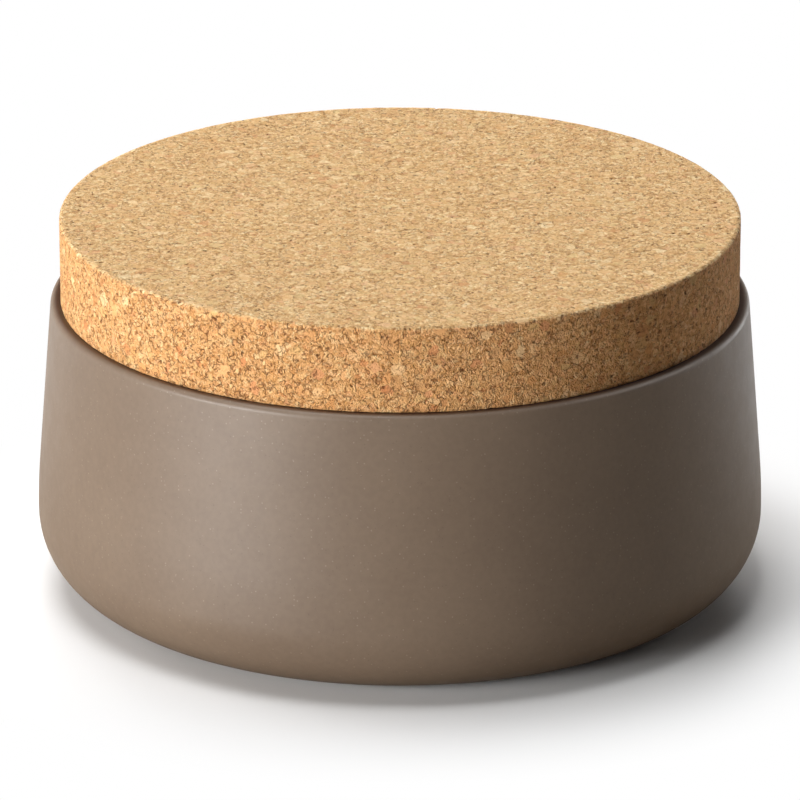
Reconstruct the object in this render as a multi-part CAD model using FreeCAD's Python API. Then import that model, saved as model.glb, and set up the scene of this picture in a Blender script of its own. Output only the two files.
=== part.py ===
import FreeCAD, Part
import math
import os

# Ceramic canister with a cork lid.
#
# A low round stoneware jar. Its wall leans in a little towards the mouth and turns under into the foot
# through a wide round corner. A thick disc of pressed cork closes it: the disc's head rests on the crest
# of the lip, and a turned step under the head plugs the mouth.
#
# Millimetres, +Z up. The origin is the centre of the foot, on the surface that the jar stands on.

# Jar, outside
belly_diameter = 172.0      # the widest place, low on the wall
jar_height = 70.0           # from the foot to the crest of the lip
rim_inset = 3.7             # how far the wall has leant in at the rim, on the radius
corner_radius = 18.0        # turns the wall under into the foot
bend_reach = 6.0            # height over which the upright belly bends into the leaning wall, each way
lip_outer_round = 1.5
lip_inner_round = 1.2
crest_width = 0.5           # the least flat between the two rounds, for the lid to rest on

# Jar, inside and underneath
wall = 5.0
floor_thickness = 5.0
foot_land = 6.0             # width of the ring that the jar stands on
foot_recess = 1.5           # depth of the underside inside that ring, its side cut at 45 degrees

# Lid
lid_inset = 2.3             # how far the lid's edge stands inside the rim's sharp corner
head_thickness = 20.3       # the part of the lid that stands above the lip
plug_depth = 9.5            # the step that goes down into the mouth
plug_clearance = 0.4        # radial gap between the plug and the mouth
plug_lead_in = 1.5          # chamfer that guides the plug into the mouth
top_edge_break = 0.4        # sanded chamfers of the head
seat_edge_break = 0.9
least_seat = 0.3            # width of crest that the head always covers, whatever its lower chamfer

same_point = 1e-6           # ends closer than this are joined with no line between them

# What the sizes above settle
belly_radius = belly_diameter / 2
rim_radius = belly_radius - rim_inset
belly_height = corner_radius + bend_reach
lean = math.atan2(rim_inset, jar_height - belly_height)
floor_height = foot_recess + floor_thickness
mouth_radius = rim_radius - wall / math.cos(lean)


def rounded_outline(corners):
    """A closed wire in the XZ plane from corners (radius, height, round), each round a tangent arc."""
    points = [FreeCAD.Vector(x, 0, z) for x, z, _ in corners]
    edges = []
    last_end = points[0]
    for i, corner in enumerate(corners):
        point = points[i]
        back = (points[i - 1] - point).normalize()
        ahead = (points[(i + 1) % len(points)] - point).normalize()
        half_angle = back.getAngle(ahead) / 2
        tangent = corner[2] / math.tan(half_angle)
        start = point + back * tangent
        end = point + ahead * tangent
        if start.distanceToPoint(last_end) > same_point:
            edges.append(Part.makeLine(last_end, start))
        if corner[2] > 0:
            to_middle = corner[2] / math.sin(half_angle) - corner[2]
            middle = point + (back + ahead).normalize() * to_middle
            edges.append(Part.Arc(start, middle, end).toShape())
        last_end = end
    edges.append(Part.makeLine(last_end, points[0]))
    return Part.Wire(edges)


def turned(corners):
    """The solid that the outline makes when it is turned about the upright axis."""
    section = Part.Face(rounded_outline(corners))
    axis_foot = FreeCAD.Vector(0, 0, 0)
    axis_direction = FreeCAD.Vector(0, 0, 1)
    return section.revolve(axis_foot, axis_direction, 360)


def lip_rounds():
    """The lip's outer and inner rounds. Where a thin wall can't hold both and the crest, both shrink."""
    outer_width = lip_outer_round * math.tan(math.radians(45) - lean / 2)
    inner_width = lip_inner_round * math.tan(math.radians(45) + lean / 2)
    room = rim_radius - mouth_radius - crest_width
    shrink = min(1, room / (outer_width + inner_width))
    return lip_outer_round * shrink, lip_inner_round * shrink


def jar_body():
    """The open jar. Its inner face follows the outer one at the wall's thickness, from lip to corner."""
    outer_round, inner_round = lip_rounds()
    bend_radius = bend_reach / math.tan(lean / 2)
    inner_belly_radius = belly_radius - wall
    inner_belly_height = belly_height - wall * math.tan(lean / 2)
    recess_radius = belly_radius - corner_radius - foot_land
    return turned([
        (0, foot_recess, 0),
        (recess_radius - foot_recess, foot_recess, 0),
        (recess_radius, 0, 0),
        (belly_radius, 0, corner_radius),
        (belly_radius, belly_height, bend_radius),
        (rim_radius, jar_height, outer_round),
        (mouth_radius, jar_height, inner_round),
        (inner_belly_radius, inner_belly_height, bend_radius - wall),
        (inner_belly_radius, floor_height, corner_radius - floor_height),
        (0, floor_height, 0),
    ])


def cork_lid():
    """The lid, in one piece: the head on the lip's crest and the plug inside the mouth."""
    head_radius = rim_radius - lid_inset
    plug_radius = mouth_radius - plug_clearance
    plug_bottom = jar_height - plug_depth
    lid_top = jar_height + head_thickness
    crest_start = mouth_radius + lip_rounds()[1] * math.tan(math.radians(45) + lean / 2)
    seat_break = min(seat_edge_break, head_radius - least_seat - crest_start)
    return turned([
        (0, plug_bottom, 0),
        (plug_radius - plug_lead_in, plug_bottom, 0),
        (plug_radius, plug_bottom + plug_lead_in, 0),
        (plug_radius, jar_height, 0),
        (head_radius - seat_break, jar_height, 0),
        (head_radius, jar_height + seat_break, 0),
        (head_radius, lid_top - top_edge_break, 0),
        (head_radius - top_edge_break, lid_top, 0),
        (0, lid_top, 0),
    ])


os.makedirs("parts", exist_ok=True)
jar_body().exportStep("parts/jar_body.step")
cork_lid().exportStep("parts/cork_lid.step")
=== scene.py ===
import math

import bmesh
import bpy
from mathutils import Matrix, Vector


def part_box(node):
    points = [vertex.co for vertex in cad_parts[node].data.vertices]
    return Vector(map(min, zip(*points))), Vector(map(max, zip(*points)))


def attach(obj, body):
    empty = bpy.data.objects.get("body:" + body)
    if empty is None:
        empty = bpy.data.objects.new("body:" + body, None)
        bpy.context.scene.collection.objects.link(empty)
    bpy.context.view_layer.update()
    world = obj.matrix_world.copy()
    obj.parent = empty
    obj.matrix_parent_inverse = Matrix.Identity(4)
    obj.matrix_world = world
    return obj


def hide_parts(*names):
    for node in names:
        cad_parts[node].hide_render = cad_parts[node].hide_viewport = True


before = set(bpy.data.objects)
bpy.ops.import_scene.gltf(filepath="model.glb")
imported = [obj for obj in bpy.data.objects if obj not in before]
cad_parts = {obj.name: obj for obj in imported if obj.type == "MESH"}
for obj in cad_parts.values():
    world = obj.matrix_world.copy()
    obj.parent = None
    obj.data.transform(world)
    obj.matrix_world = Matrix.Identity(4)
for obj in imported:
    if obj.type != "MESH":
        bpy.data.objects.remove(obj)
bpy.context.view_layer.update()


# ---------------------------------------------------------------------------------------------------
# The jar. One turned shell of stoneware, its even wall leaning in to a rounded lip, in a thin matt glaze
# the colour of wet clay that lets a fine speckle of the body show. The ring it stands on is wiped clean
# before the firing. A dark brown band at the crest, fading over the lip's round, is painted shade under the
# lid.

class Link:
    """A node's output that maths can be written with: each operator adds one Math node."""

    def __init__(self, graph, socket):
        self.graph = graph
        self.socket = socket

    def maths(self, operation, *inputs):
        return self.graph.node("ShaderNodeMath", {"operation": operation}, dict(enumerate(inputs)))

    def __add__(self, other):
        return self.maths("ADD", self, other)

    def __sub__(self, other):
        return self.maths("SUBTRACT", self, other)

    def __rsub__(self, other):
        return self.maths("SUBTRACT", other, self)

    def __mul__(self, other):
        return self.maths("MULTIPLY", self, other)

    def __lt__(self, other):
        return self.maths("LESS_THAN", self, other)

    def __gt__(self, other):
        return self.maths("GREATER_THAN", self, other)

    __radd__ = __add__
    __rmul__ = __mul__


class Graph:
    """A node tree that is filled through one method."""

    def __init__(self, tree):
        self.tree = tree
        tree.nodes.clear()

    def node(self, kind, settings=None, inputs=None, output=0):
        """One node: its settings first, then its inputs' values or links. Gives the output asked for."""
        made = self.tree.nodes.new(kind)
        for name, value in (settings or {}).items():
            if name == "stops":
                set_stops(made.color_ramp, value)
            else:
                setattr(made, name, value)
        for name, value in (inputs or {}).items():
            if isinstance(value, Link):
                self.tree.links.new(value.socket, made.inputs[name])
            else:
                made.inputs[name].default_value = value
        return Link(self, made.outputs[output]) if made.outputs else None

    def mix(self, share, first, second, blend="MIX"):
        """Two colours mixed by a share from 0 to 1."""
        settings = {"data_type": "RGBA", "blend_type": blend, "clamp_result": True}
        return self.node("ShaderNodeMix", settings, {0: share, 6: first, 7: second}, 2)

    def ramp(self, value, stops):
        """A colour looked up on a ramp of (place, colour) stops."""
        return self.node("ShaderNodeValToRGB", {"stops": stops}, {0: value})

    def band(self, value, low, high):
        """0 below low and 1 above high, with a smooth step between. Low may be the larger."""
        inputs = {0: value, 1: low, 2: high, 3: 0.0, 4: 1.0}
        return self.node("ShaderNodeMapRange", {"interpolation_type": "SMOOTHSTEP"}, inputs)

    def noise(self, where, size, detail=2.0, output="Fac"):
        """Soft noise whose lumps are about that many millimetres across."""
        inputs = {"Vector": where, "Scale": 1.0 / size, "Detail": detail}
        return self.node("ShaderNodeTexNoise", {}, inputs, output)

    def cells(self, where, size, feature="F1", output="Distance"):
        """Voronoi cells about that many millimetres across."""
        settings = {"feature": feature}
        return self.node("ShaderNodeTexVoronoi", settings, {"Vector": where, "Scale": 1.0 / size}, output)

    def part(self, vector, axis=0):
        """One of a place's three measures, or of the three random numbers that a cell's colour holds."""
        return self.node("ShaderNodeSeparateXYZ", {}, {0: vector}, axis)

    def moved(self, where, size, reach, detail=2.0):
        """The place pushed about by up to half of reach, so that straight cell edges wander."""
        push = self.noise(where, size, detail, "Color")
        push = self.node("ShaderNodeVectorMath", {"operation": "SUBTRACT"}, {0: push, 1: (0.5, 0.5, 0.5)})
        push = self.node("ShaderNodeVectorMath", {"operation": "SCALE"}, {0: push, "Scale": reach})
        return self.node("ShaderNodeVectorMath", {"operation": "ADD"}, {0: where, 1: push})

    def millimetres(self, metres):
        return self.node("ShaderNodeVectorMath", {"operation": "SCALE"}, {0: metres, "Scale": 1000.0})

    def surface_place(self):
        """The place on the piece, in millimetres."""
        return self.millimetres(self.node("ShaderNodeTexCoord", {}, {}, "Object"))


def set_stops(ramp, stops):
    while len(ramp.elements) > 1:
        ramp.elements.remove(ramp.elements[-1])
    for i, (place, colour) in enumerate(stops):
        stop = ramp.elements[0] if i == 0 else ramp.elements.new(place)
        stop.position = place
        stop.color = colour


def paint(red, green, blue):
    """A colour from 0 to 255 as a screen shows it, turned to the linear values that shaders use."""
    linear = [((c / 255 + 0.055) / 1.055) ** 2.4 for c in (red, green, blue)]
    return (*linear, 1.0)


def new_finish(name):
    material = bpy.data.materials.new(name)
    material.use_nodes = True
    return material, Graph(material.node_tree)


# Sizes and places in the patterns of both finishes are in millimetres.
glaze_light = paint(122, 104, 87)
glaze_dark = paint(114, 96, 80)
pale_grit = paint(172, 160, 144)
dark_grit = paint(78, 64, 54)
bare_clay = paint(176, 158, 138)
# painted shade of the joint under the lid's edge, laid on the crest
seat_painted_shade = paint(62, 36, 18)
cloud_size = 24.0
mottle_size = 1.4
grit_spacing = 0.8
pale_grit_share = 0.14    # how many of the grits are pale enough to show
dark_grit_share = 0.12
foot_top = 0.25           # above the table, where the glaze starts
seat_shade_end = 80.5      # from the axis to where the painted shade at the crest starts to fade to glaze
seat_shade_fade = 1.6
crest_start = 69.0        # above the table, over which the painted shade at the crest can be
gloss_patch = 5.0
least_roughness = 0.46
roughness_spread = 0.06
skin_grain = 0.5
skin_depth = 0.00006      # this one in metres, as the Bump node takes it

glaze_finish, g = new_finish("matt_taupe_glaze")
place = g.surface_place()
cloud = g.band(g.noise(place, cloud_size, 3.0), 0.35, 0.65)
mottle = g.band(g.noise(place, mottle_size, 3.0), 0.3, 0.7)
tone = g.mix(cloud * 0.5 + mottle * 0.5, glaze_dark, glaze_light)
grit_near = g.cells(place, grit_spacing)
grit_luck = g.part(g.cells(place, grit_spacing, output="Color"))
pale_speck = g.band(grit_near, 0.3, 0.12) * (grit_luck > 1 - pale_grit_share)
dark_speck = g.band(grit_near, 0.26, 0.1) * (grit_luck < dark_grit_share)
tone = g.mix(pale_speck * 0.3, tone, pale_grit)
tone = g.mix(dark_speck * 0.35, tone, dark_grit)
height = g.part(place, 2)
tone = g.mix(g.band(height, foot_top, 0.0), tone, bare_clay)
flat = g.node("ShaderNodeVectorMath", {"operation": "MULTIPLY"}, {0: place, 1: (1.0, 1.0, 0.0)})
from_axis = g.node("ShaderNodeVectorMath", {"operation": "LENGTH"}, {0: flat}, "Value")
# painted shade: the crest under the lid's edge turns dark brown, fading out over the lip's round
seat_shade_share = g.band(from_axis, seat_shade_end + seat_shade_fade, seat_shade_end) * (height > crest_start)
tone = g.mix(seat_shade_share, tone, seat_painted_shade)
roughness = g.band(g.noise(place, gloss_patch, 3.0), 0.3, 0.7) * roughness_spread + least_roughness
grain = g.noise(place, skin_grain, 3.0)
skin = g.node("ShaderNodeBump", {}, {"Strength": 0.2, "Distance": skin_depth, "Height": grain})
surface = g.node("ShaderNodeBsdfPrincipled", {}, {
    "Base Color": tone, "Roughness": roughness, "Normal": skin, "IOR": 1.6,
})
g.node("ShaderNodeOutputMaterial", {}, {0: surface})

_, jar_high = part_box("jar_body")
belly_radius = jar_high.x
jar_top = jar_high.z
rim_inset = 0.0037        # how far the wall has leant in at the rim
corner_radius = 0.018     # turns the wall under into the foot
bend_reach = 0.006        # height over which the belly bends into the leaning wall, each way
lip_outer_round = 0.0015
lip_inner_round = 0.0012
wall = 0.005
floor_thickness = 0.005
foot_land = 0.006         # width of the ring that the jar stands on
foot_recess = 0.0015
lip_steps = 14            # straight steps in each of the lip's rounds
corner_steps = 28
bend_steps = 12
hold = 0.0002             # straight runs get a ring this near to each end, so that shading stays even
turns = 480
crisp_angle = math.radians(25)    # edges that turn by more than this are not shaded round


def rounded_outline(corners):
    """Points of a section, from corners (radius, height, round, steps), each round a tangent arc."""
    arcs = []
    for i, (x, z, curve, steps) in enumerate(corners):
        corner = Vector((x, z))
        back = (Vector(corners[i - 1][:2]) - corner).normalized()
        ahead = (Vector(corners[(i + 1) % len(corners)][:2]) - corner).normalized()
        half_angle = back.angle(ahead) / 2
        tangent = curve / math.tan(half_angle)
        centre = corner + (back + ahead).normalized() * curve / math.sin(half_angle)
        start = corner + back * tangent - centre
        end = corner + ahead * tangent - centre
        directions = [start.slerp(end, k / steps).normalized() for k in range(steps + 1)] if curve else []
        arcs.append([centre + direction * curve for direction in directions] or [corner])
    points = list(arcs[0])
    for arc in arcs[1:]:
        run = arc[0] - points[-1]
        step = run.normalized() * hold
        if run.length > 4 * hold:
            points += [points[-1] + step, arc[0] - step]
        points += arc if run.length > hold / 10 else arc[1:]
    return points


def turned_mesh(name, points):
    """The points turned about the upright axis. The first and last lie on it."""
    made = bmesh.new()
    rings = []
    for point in points:
        if point.x == 0:
            rings.append([made.verts.new((0, 0, point.y))] * turns)
            continue
        ring = []
        for k in range(turns):
            angle = 2 * math.pi * k / turns
            ring.append(made.verts.new((point.x * math.cos(angle), point.x * math.sin(angle), point.y)))
        rings.append(ring)
    for lower, upper in zip(rings, rings[1:]):
        for k in range(turns):
            after = (k + 1) % turns
            corners = [lower[k], lower[after], upper[after], upper[k]]
            made.faces.new(list(dict.fromkeys(corners)))
    bmesh.ops.recalc_face_normals(made, faces=made.faces)
    for face in made.faces:
        face.smooth = True
    for edge in made.edges:
        edge.smooth = edge.calc_face_angle(0) < crisp_angle
    data = bpy.data.meshes.new(name)
    made.to_mesh(data)
    made.free()
    return data


rim_radius = belly_radius - rim_inset
belly_height = corner_radius + bend_reach
lean = math.atan2(rim_inset, jar_top - belly_height)
floor_height = foot_recess + floor_thickness
mouth_radius = rim_radius - wall / math.cos(lean)
bend_radius = bend_reach / math.tan(lean / 2)
recess_radius = belly_radius - corner_radius - foot_land
jar_points = rounded_outline([
    (0, foot_recess, 0, 0),
    (recess_radius - foot_recess, foot_recess, 0, 0),
    (recess_radius, 0, 0, 0),
    (belly_radius, 0, corner_radius, corner_steps),
    (belly_radius, belly_height, bend_radius, bend_steps),
    (rim_radius, jar_top, lip_outer_round, lip_steps),
    (mouth_radius, jar_top, lip_inner_round, lip_steps),
    (belly_radius - wall, belly_height - wall * math.tan(lean / 2), bend_radius - wall, bend_steps),
    (belly_radius - wall, floor_height, corner_radius - floor_height, corner_steps),
    (0, floor_height, 0, 0),
])
jar = bpy.data.objects.new("stoneware_jar", turned_mesh("stoneware_jar", jar_points))
bpy.context.scene.collection.objects.link(jar)
jar.data.materials.append(glaze_finish)
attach(jar, "root")
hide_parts("jar_body")


# ---------------------------------------------------------------------------------------------------
# The lid. A thick disc of pressed cork: granules from crumbs to chips of 3 mm, glued under pressure,
# sawn, turned with a step that plugs the mouth, and sanded. Each cut face shows grains sliced flat,
# with shallow dents and small torn pits, which nick the edges where they meet them.

lid_low, lid_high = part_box("cork_lid")
head_radius = lid_high.x
seat_height = jar_top
top_height = lid_high.z
plug_bottom = lid_low.z
plug_radius = 0.07688     # about 0.4 mm clear of the mouth
lead_in = 0.0015          # chamfer that guides the plug into the mouth
top_break = 0.0004        # sanded chamfer of the top edge
seat_break = 0.0009       # how far in from its side the head touches the lip
side_lift = 0.00012       # the side stops this far above the lip, so the joint stays a thin dark line
undercut_lift = 0.00004
undercut_width = seat_break / 5
across = 224              # squares along each side of the grid that covers the head's top
around = 4 * across       # so the grid's rim meets the turned side point for point
side_step = 0.00055       # height of the side's squares


def disc_point(a, b, radius):
    """A point of a square grid, a and b from -1 to 1, carried to a disc so that squares keep their size."""
    if a == 0 and b == 0:
        return 0.0, 0.0
    if abs(a) > abs(b):
        reach, turn = a, math.pi / 4 * b / a
    else:
        reach, turn = b, math.pi / 2 - math.pi / 4 * a / b
    return radius * reach * math.cos(turn), radius * reach * math.sin(turn)


def turned_rows():
    """The lid's turned outline from the top's rim down to the plug's underside, as (radius, height)."""
    side_top = top_height - top_break
    side_bottom = seat_height + side_lift
    side_rows = round((side_top - side_bottom) / side_step)
    rows = [(head_radius - top_break / 2, top_height - top_break / 2)]
    for i in range(side_rows + 1):
        rows.append((head_radius, side_top + (side_bottom - side_top) * i / side_rows))
    rows.append((head_radius - undercut_width, seat_height + undercut_lift))
    rows.append((head_radius - seat_break, seat_height))
    rows.append((plug_radius, seat_height))
    rows.append((plug_radius, (seat_height + plug_bottom + lead_in) / 2))
    rows.append((plug_radius, plug_bottom + lead_in))
    rows.append((plug_radius - lead_in, plug_bottom))
    return rows


lid_mesh = bmesh.new()
top_radius = head_radius - top_break
grid = [[None] * (across + 1) for _ in range(across + 1)]
for i in range(across + 1):
    for j in range(across + 1):
        x, y = disc_point(2 * i / across - 1, 2 * j / across - 1, top_radius)
        grid[i][j] = lid_mesh.verts.new((x, y, top_height))
for i in range(across):
    for j in range(across):
        lid_mesh.faces.new((grid[i][j], grid[i + 1][j], grid[i + 1][j + 1], grid[i][j + 1]))
rim = [grid[across][j] for j in range(across)]
rim += [grid[across - i][across] for i in range(across)]
rim += [grid[0][across - j] for j in range(across)]
rim += [grid[i][0] for i in range(across)]
upper = rim
for row_radius, row_height in turned_rows():
    lower = []
    for spoke in rim:
        outward = Vector((spoke.co.x, spoke.co.y, 0)).normalized() * row_radius
        lower.append(lid_mesh.verts.new((outward.x, outward.y, row_height)))
    for k in range(around):
        after = (k + 1) % around
        lid_mesh.faces.new((upper[k], lower[k], lower[after], upper[after]))
    upper = lower
lid_mesh.faces.new(upper)
bmesh.ops.recalc_face_normals(lid_mesh, faces=lid_mesh.faces)
for face in lid_mesh.faces:
    face.smooth = True
lid_data = bpy.data.meshes.new("cork_disc")
lid_mesh.to_mesh(lid_data)
lid_mesh.free()
lid = bpy.data.objects.new("cork_disc", lid_data)
bpy.context.scene.collection.objects.link(lid)

pit_spacing = 1.7
pit_share = 0.2           # how many of those places are torn
dent_size = 2.2
pit_depth = 0.00025       # depths are in metres
dent_depth = 0.00006


def torn_pits(graph, place):
    """How deep the place lies in a torn pit: 0 on sound cork, 1 at the bottom of a pit."""
    bent = graph.moved(place, 0.6, 1.4, 3.0)
    near = graph.cells(bent, pit_spacing)
    luck = graph.part(graph.cells(bent, pit_spacing, output="Color"), 2)
    return graph.band(near, 0.3, 0.12) * (luck > 1 - pit_share)


relief = bpy.data.node_groups.new("cork_relief", "GeometryNodeTree")
relief.interface.new_socket(name="Geometry", in_out="INPUT", socket_type="NodeSocketGeometry")
relief.interface.new_socket(name="Geometry", in_out="OUTPUT", socket_type="NodeSocketGeometry")
g = Graph(relief)
place = g.millimetres(g.node("GeometryNodeInputPosition"))
dents = g.band(g.noise(place, dent_size, 2.0), 0.35, 0.7)
depth = torn_pits(g, place) * pit_depth + dents * dent_depth
outward = g.node("GeometryNodeInputNormal")
inward = g.node("ShaderNodeVectorMath", {"operation": "SCALE"}, {0: outward, "Scale": 0 - depth})
worn = g.node("GeometryNodeSetPosition", {}, {0: g.node("NodeGroupInput"), 3: inward})
g.node("NodeGroupOutput", {}, {0: worn})
wear = lid.modifiers.new("wear", "NODES")
wear.node_group = relief
view = bpy.context.evaluated_depsgraph_get()
worn_data = bpy.data.meshes.new_from_object(lid.evaluated_get(view))
lid.modifiers.clear()
lid.data = worn_data

granule = 1.15
crumb = 0.5
biggest_chip = 2.5
chip_share = 0.24
bark = paint(142, 84, 38)
bark_dust = paint(136, 78, 34)
pit_shade = paint(106, 58, 25)
side_painted_shade = (1.13, 0.95, 0.82, 1.0)    # painted shade: the turned side is coloured warmer and darker than the top for how the light falls on it
torn_depth = 0.00032
top_level = 1000 * top_height

cork_finish, g = new_finish("pressed_cork")
place = g.surface_place()
bent = g.moved(g.moved(place, 1.7, 1.5), 0.4, 0.4)
side = g.band(g.part(place, 2), top_level - 0.1, top_level - 0.6)

# Granules, and the crumbs pressed among them, each with its own tone.
grain_draw = g.cells(bent, granule, output="Color")
grain_tone = g.ramp(g.part(grain_draw), [
    (0.0, paint(207, 157, 102)), (0.25, paint(220, 178, 121)), (0.5, paint(228, 188, 135)),
    (0.65, paint(230, 181, 130)), (0.8, paint(238, 202, 145)), (0.93, paint(246, 222, 173)),
    (1.0, paint(210, 145, 96)),
])
crumb_draw = g.cells(bent, crumb, output="Color")
crumb_tone = g.ramp(g.part(crumb_draw, 1), [
    (0.0, paint(172, 121, 69)), (0.3, paint(210, 165, 105)), (0.7, paint(236, 195, 141)),
    (1.0, paint(250, 230, 184)),
])
cork_tone = g.mix(0.5, grain_tone, crumb_tone)

# Bigger chips, cut flat by the saw.
chip_draw = g.cells(bent, biggest_chip, output="Color")
chip_edge = g.cells(bent, biggest_chip, "DISTANCE_TO_EDGE")
chip = (g.part(chip_draw) > 1 - chip_share) * g.band(chip_edge, 0.05, 0.13)
chip_tone = g.ramp(g.part(chip_draw, 1), [
    (0.0, paint(247, 226, 181)), (0.2, paint(233, 193, 142)), (0.45, paint(218, 165, 107)),
    (0.65, paint(224, 197, 141)), (0.82, paint(205, 140, 91)), (1.0, paint(231, 184, 141)),
])
cork_tone = g.mix(chip * (side * 0.25 + 0.55), cork_tone, chip_tone)

# Dark bark dust in the joints between granules and in patches, and painted shade in the torn pits.
joint = g.cells(bent, granule, "DISTANCE_TO_EDGE")
patch = g.noise(place, 1.3, 2.0)
crevice = g.band(joint, 0.12, 0.03) * g.band(patch, 0.5, 0.6)
dust = g.band(g.noise(bent, 0.55, 2.0), 0.58, 0.68) * g.band(g.noise(place, 3.0, 1.0), 0.4, 0.6)
pit = torn_pits(g, place)
sound = 1 - chip * 0.7
cork_tone = g.mix(crevice * sound * (side * 0.1 + 0.5), cork_tone, bark)
cork_tone = g.mix(dust * sound * (side * 0.1 + 0.45), cork_tone, bark_dust)
# painted shade in the torn pits
cork_tone = g.mix(pit * 0.75, cork_tone, pit_shade)
# painted shade: the side is tinted warmer and darker than the top
cork_tone = g.mix(side, cork_tone, side_painted_shade, "MULTIPLY")

# Each granule and crumb stands or lies a little apart from its neighbours, more on the side than on top.
crumb_round = g.cells(bent, crumb)
grain_level = g.part(grain_draw, 2)
height = g.part(crumb_draw, 2) * 0.5 + grain_level * 0.5 - crumb_round * 0.6
height = height * sound - crevice * 0.7 - dust * 0.5 - pit * 0.6
height = (height + g.noise(place, 0.3, 2.0) * 0.4) * (side * 0.9 + 0.8)
torn = g.node("ShaderNodeBump", {}, {"Strength": 1.0, "Distance": torn_depth, "Height": height})
surface = g.node("ShaderNodeBsdfPrincipled", {}, {
    "Base Color": cork_tone, "Roughness": 0.9, "Normal": torn, "Specular IOR Level": 0.35,
})
g.node("ShaderNodeOutputMaterial", {}, {0: surface})
lid.data.materials.append(cork_finish)
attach(lid, "root")
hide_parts("cork_lid")


# ---------------------------------------------------------------------------------------------------
# The studio. A plain pale board, nearly white to the eye, that clears to white away from the jar and
# throws a dimmer, warmer light back up at it. Around it stand square soft boxes, and the camera looks
# down from the front. Glossy surfaces mirror white only from behind the jar and low down.

floor_width = 3.2
clear_from = 88.0         # millimetres from the axis where the floor starts to turn to plain white
clear_by = 130.0
rear_from = 20.0          # millimetres behind the axis where mirrored floor starts to be white
rear_by = 140.0
low_sky = 0.05            # heights on the world's sphere between which its mirrored white ends
high_sky = 0.2
bpy.ops.mesh.primitive_plane_add(size=floor_width, location=(0, 0, 0))
floor = bpy.context.object
floor.name = "floor"
floor_finish, g = new_finish("pale_floor")
place = g.surface_place()
reach = g.node("ShaderNodeVectorMath", {"operation": "LENGTH"}, {0: place}, "Value")
rearward = g.band(g.part(place, 1), rear_from, rear_by)
seen = g.node("ShaderNodeLightPath", {}, {}, "Is Camera Ray")
mirrored = g.node("ShaderNodeLightPath", {}, {}, "Is Glossy Ray")
through = g.node("ShaderNodeLightPath", {}, {}, "Is Transmission Ray")
board = g.node("ShaderNodeBsdfDiffuse", {}, {"Color": (0.92, 0.92, 0.92, 1.0)})
shade_board = g.node("ShaderNodeBsdfDiffuse", {}, {"Color": (0.48, 0.43, 0.37, 1.0)})
white = g.node("ShaderNodeEmission", {}, {"Color": (1.0, 1.0, 1.0, 1.0), "Strength": 1.0})
ground = g.node("ShaderNodeMixShader", {}, {0: seen, 1: shade_board, 2: board})
clear = g.band(reach, clear_from, clear_by) * seen + (mirrored + through) * rearward
g.node("ShaderNodeOutputMaterial", {}, {
    0: g.node("ShaderNodeMixShader", {}, {0: clear, 1: ground, 2: white}),
})
floor.data.materials.append(floor_finish)

world = bpy.data.worlds.new("studio")
world.use_nodes = True
bpy.context.scene.world = world
g = Graph(world.node_tree)
seen = g.node("ShaderNodeLightPath", {}, {}, "Is Camera Ray")
mirrored = g.node("ShaderNodeLightPath", {}, {}, "Is Glossy Ray")
through = g.node("ShaderNodeLightPath", {}, {}, "Is Transmission Ray")
upward = g.part(g.node("ShaderNodeTexCoord", {}, {}, "Generated"), 2)
white_share = seen + (mirrored + through) * g.band(upward, high_sky, low_sky)
dim = g.node("ShaderNodeBackground", {}, {0: (1.0, 1.0, 1.0, 1.0), 1: 0.01})
bright = g.node("ShaderNodeBackground", {}, {0: (1.0, 1.0, 1.0, 1.0), 1: 1.0})
surroundings = g.node("ShaderNodeMixShader", {}, {0: white_share, 1: dim, 2: bright})
g.node("ShaderNodeOutputWorld", {}, {0: surroundings})

middle = Vector((0, 0, 0.045))


def soft_box(name, turn, climb, size, power, distance=1.2, shines=True, lights=True):
    """A square soft box aimed at the middle of the jar, so many degrees from the front towards the right
    and upward, and so many metres off. One that doesn't shine isn't mirrored; one that doesn't light
    gives highlights only."""
    turn = math.radians(turn)
    climb = math.radians(climb)
    toward = Vector((math.sin(turn) * math.cos(climb), -math.cos(turn) * math.cos(climb), math.sin(climb)))
    lamp = bpy.data.lights.new(name, "AREA")
    lamp.size = size
    lamp.energy = power
    holder = bpy.data.objects.new(name, lamp)
    holder.location = middle + toward * distance
    holder.rotation_euler = (-toward).to_track_quat("-Z", "Y").to_euler()
    holder.visible_camera = False
    holder.visible_glossy = shines
    holder.visible_diffuse = lights
    bpy.context.scene.collection.objects.link(holder)


soft_box("key_box", turn=-53, climb=5, size=0.6, power=22.5)
soft_box("top_box", turn=-80, climb=80, size=0.7, power=10.7, distance=1.3)
soft_box("back_box", turn=-172, climb=30, size=1.3, power=20, distance=1.8, shines=False)
soft_box("rim_box", turn=176, climb=4, size=0.3, power=14, shines=False)
soft_box("left_box", turn=-125, climb=12, size=0.5, power=5.5, shines=False)
soft_box("edge_box", turn=136, climb=3, size=0.4, power=3.0)
soft_box("lip_box", turn=105, climb=40, size=0.5, power=4, lights=False)

camera_tilt = math.radians(20.47)
camera_distance = 1.643
look_at = Vector((0, 0, 0.0433))
camera_data = bpy.data.cameras.new("camera")
camera_data.sensor_width = 36.0
camera_data.lens = 311.7
camera = bpy.data.objects.new("camera", camera_data)
back = Vector((0, -math.cos(camera_tilt), math.sin(camera_tilt)))
camera.location = look_at + back * camera_distance
camera.rotation_euler = (-back).to_track_quat("-Z", "Y").to_euler()
bpy.context.scene.collection.objects.link(camera)
bpy.context.scene.camera = camera

bpy.context.scene.view_settings.view_transform = "Standard"
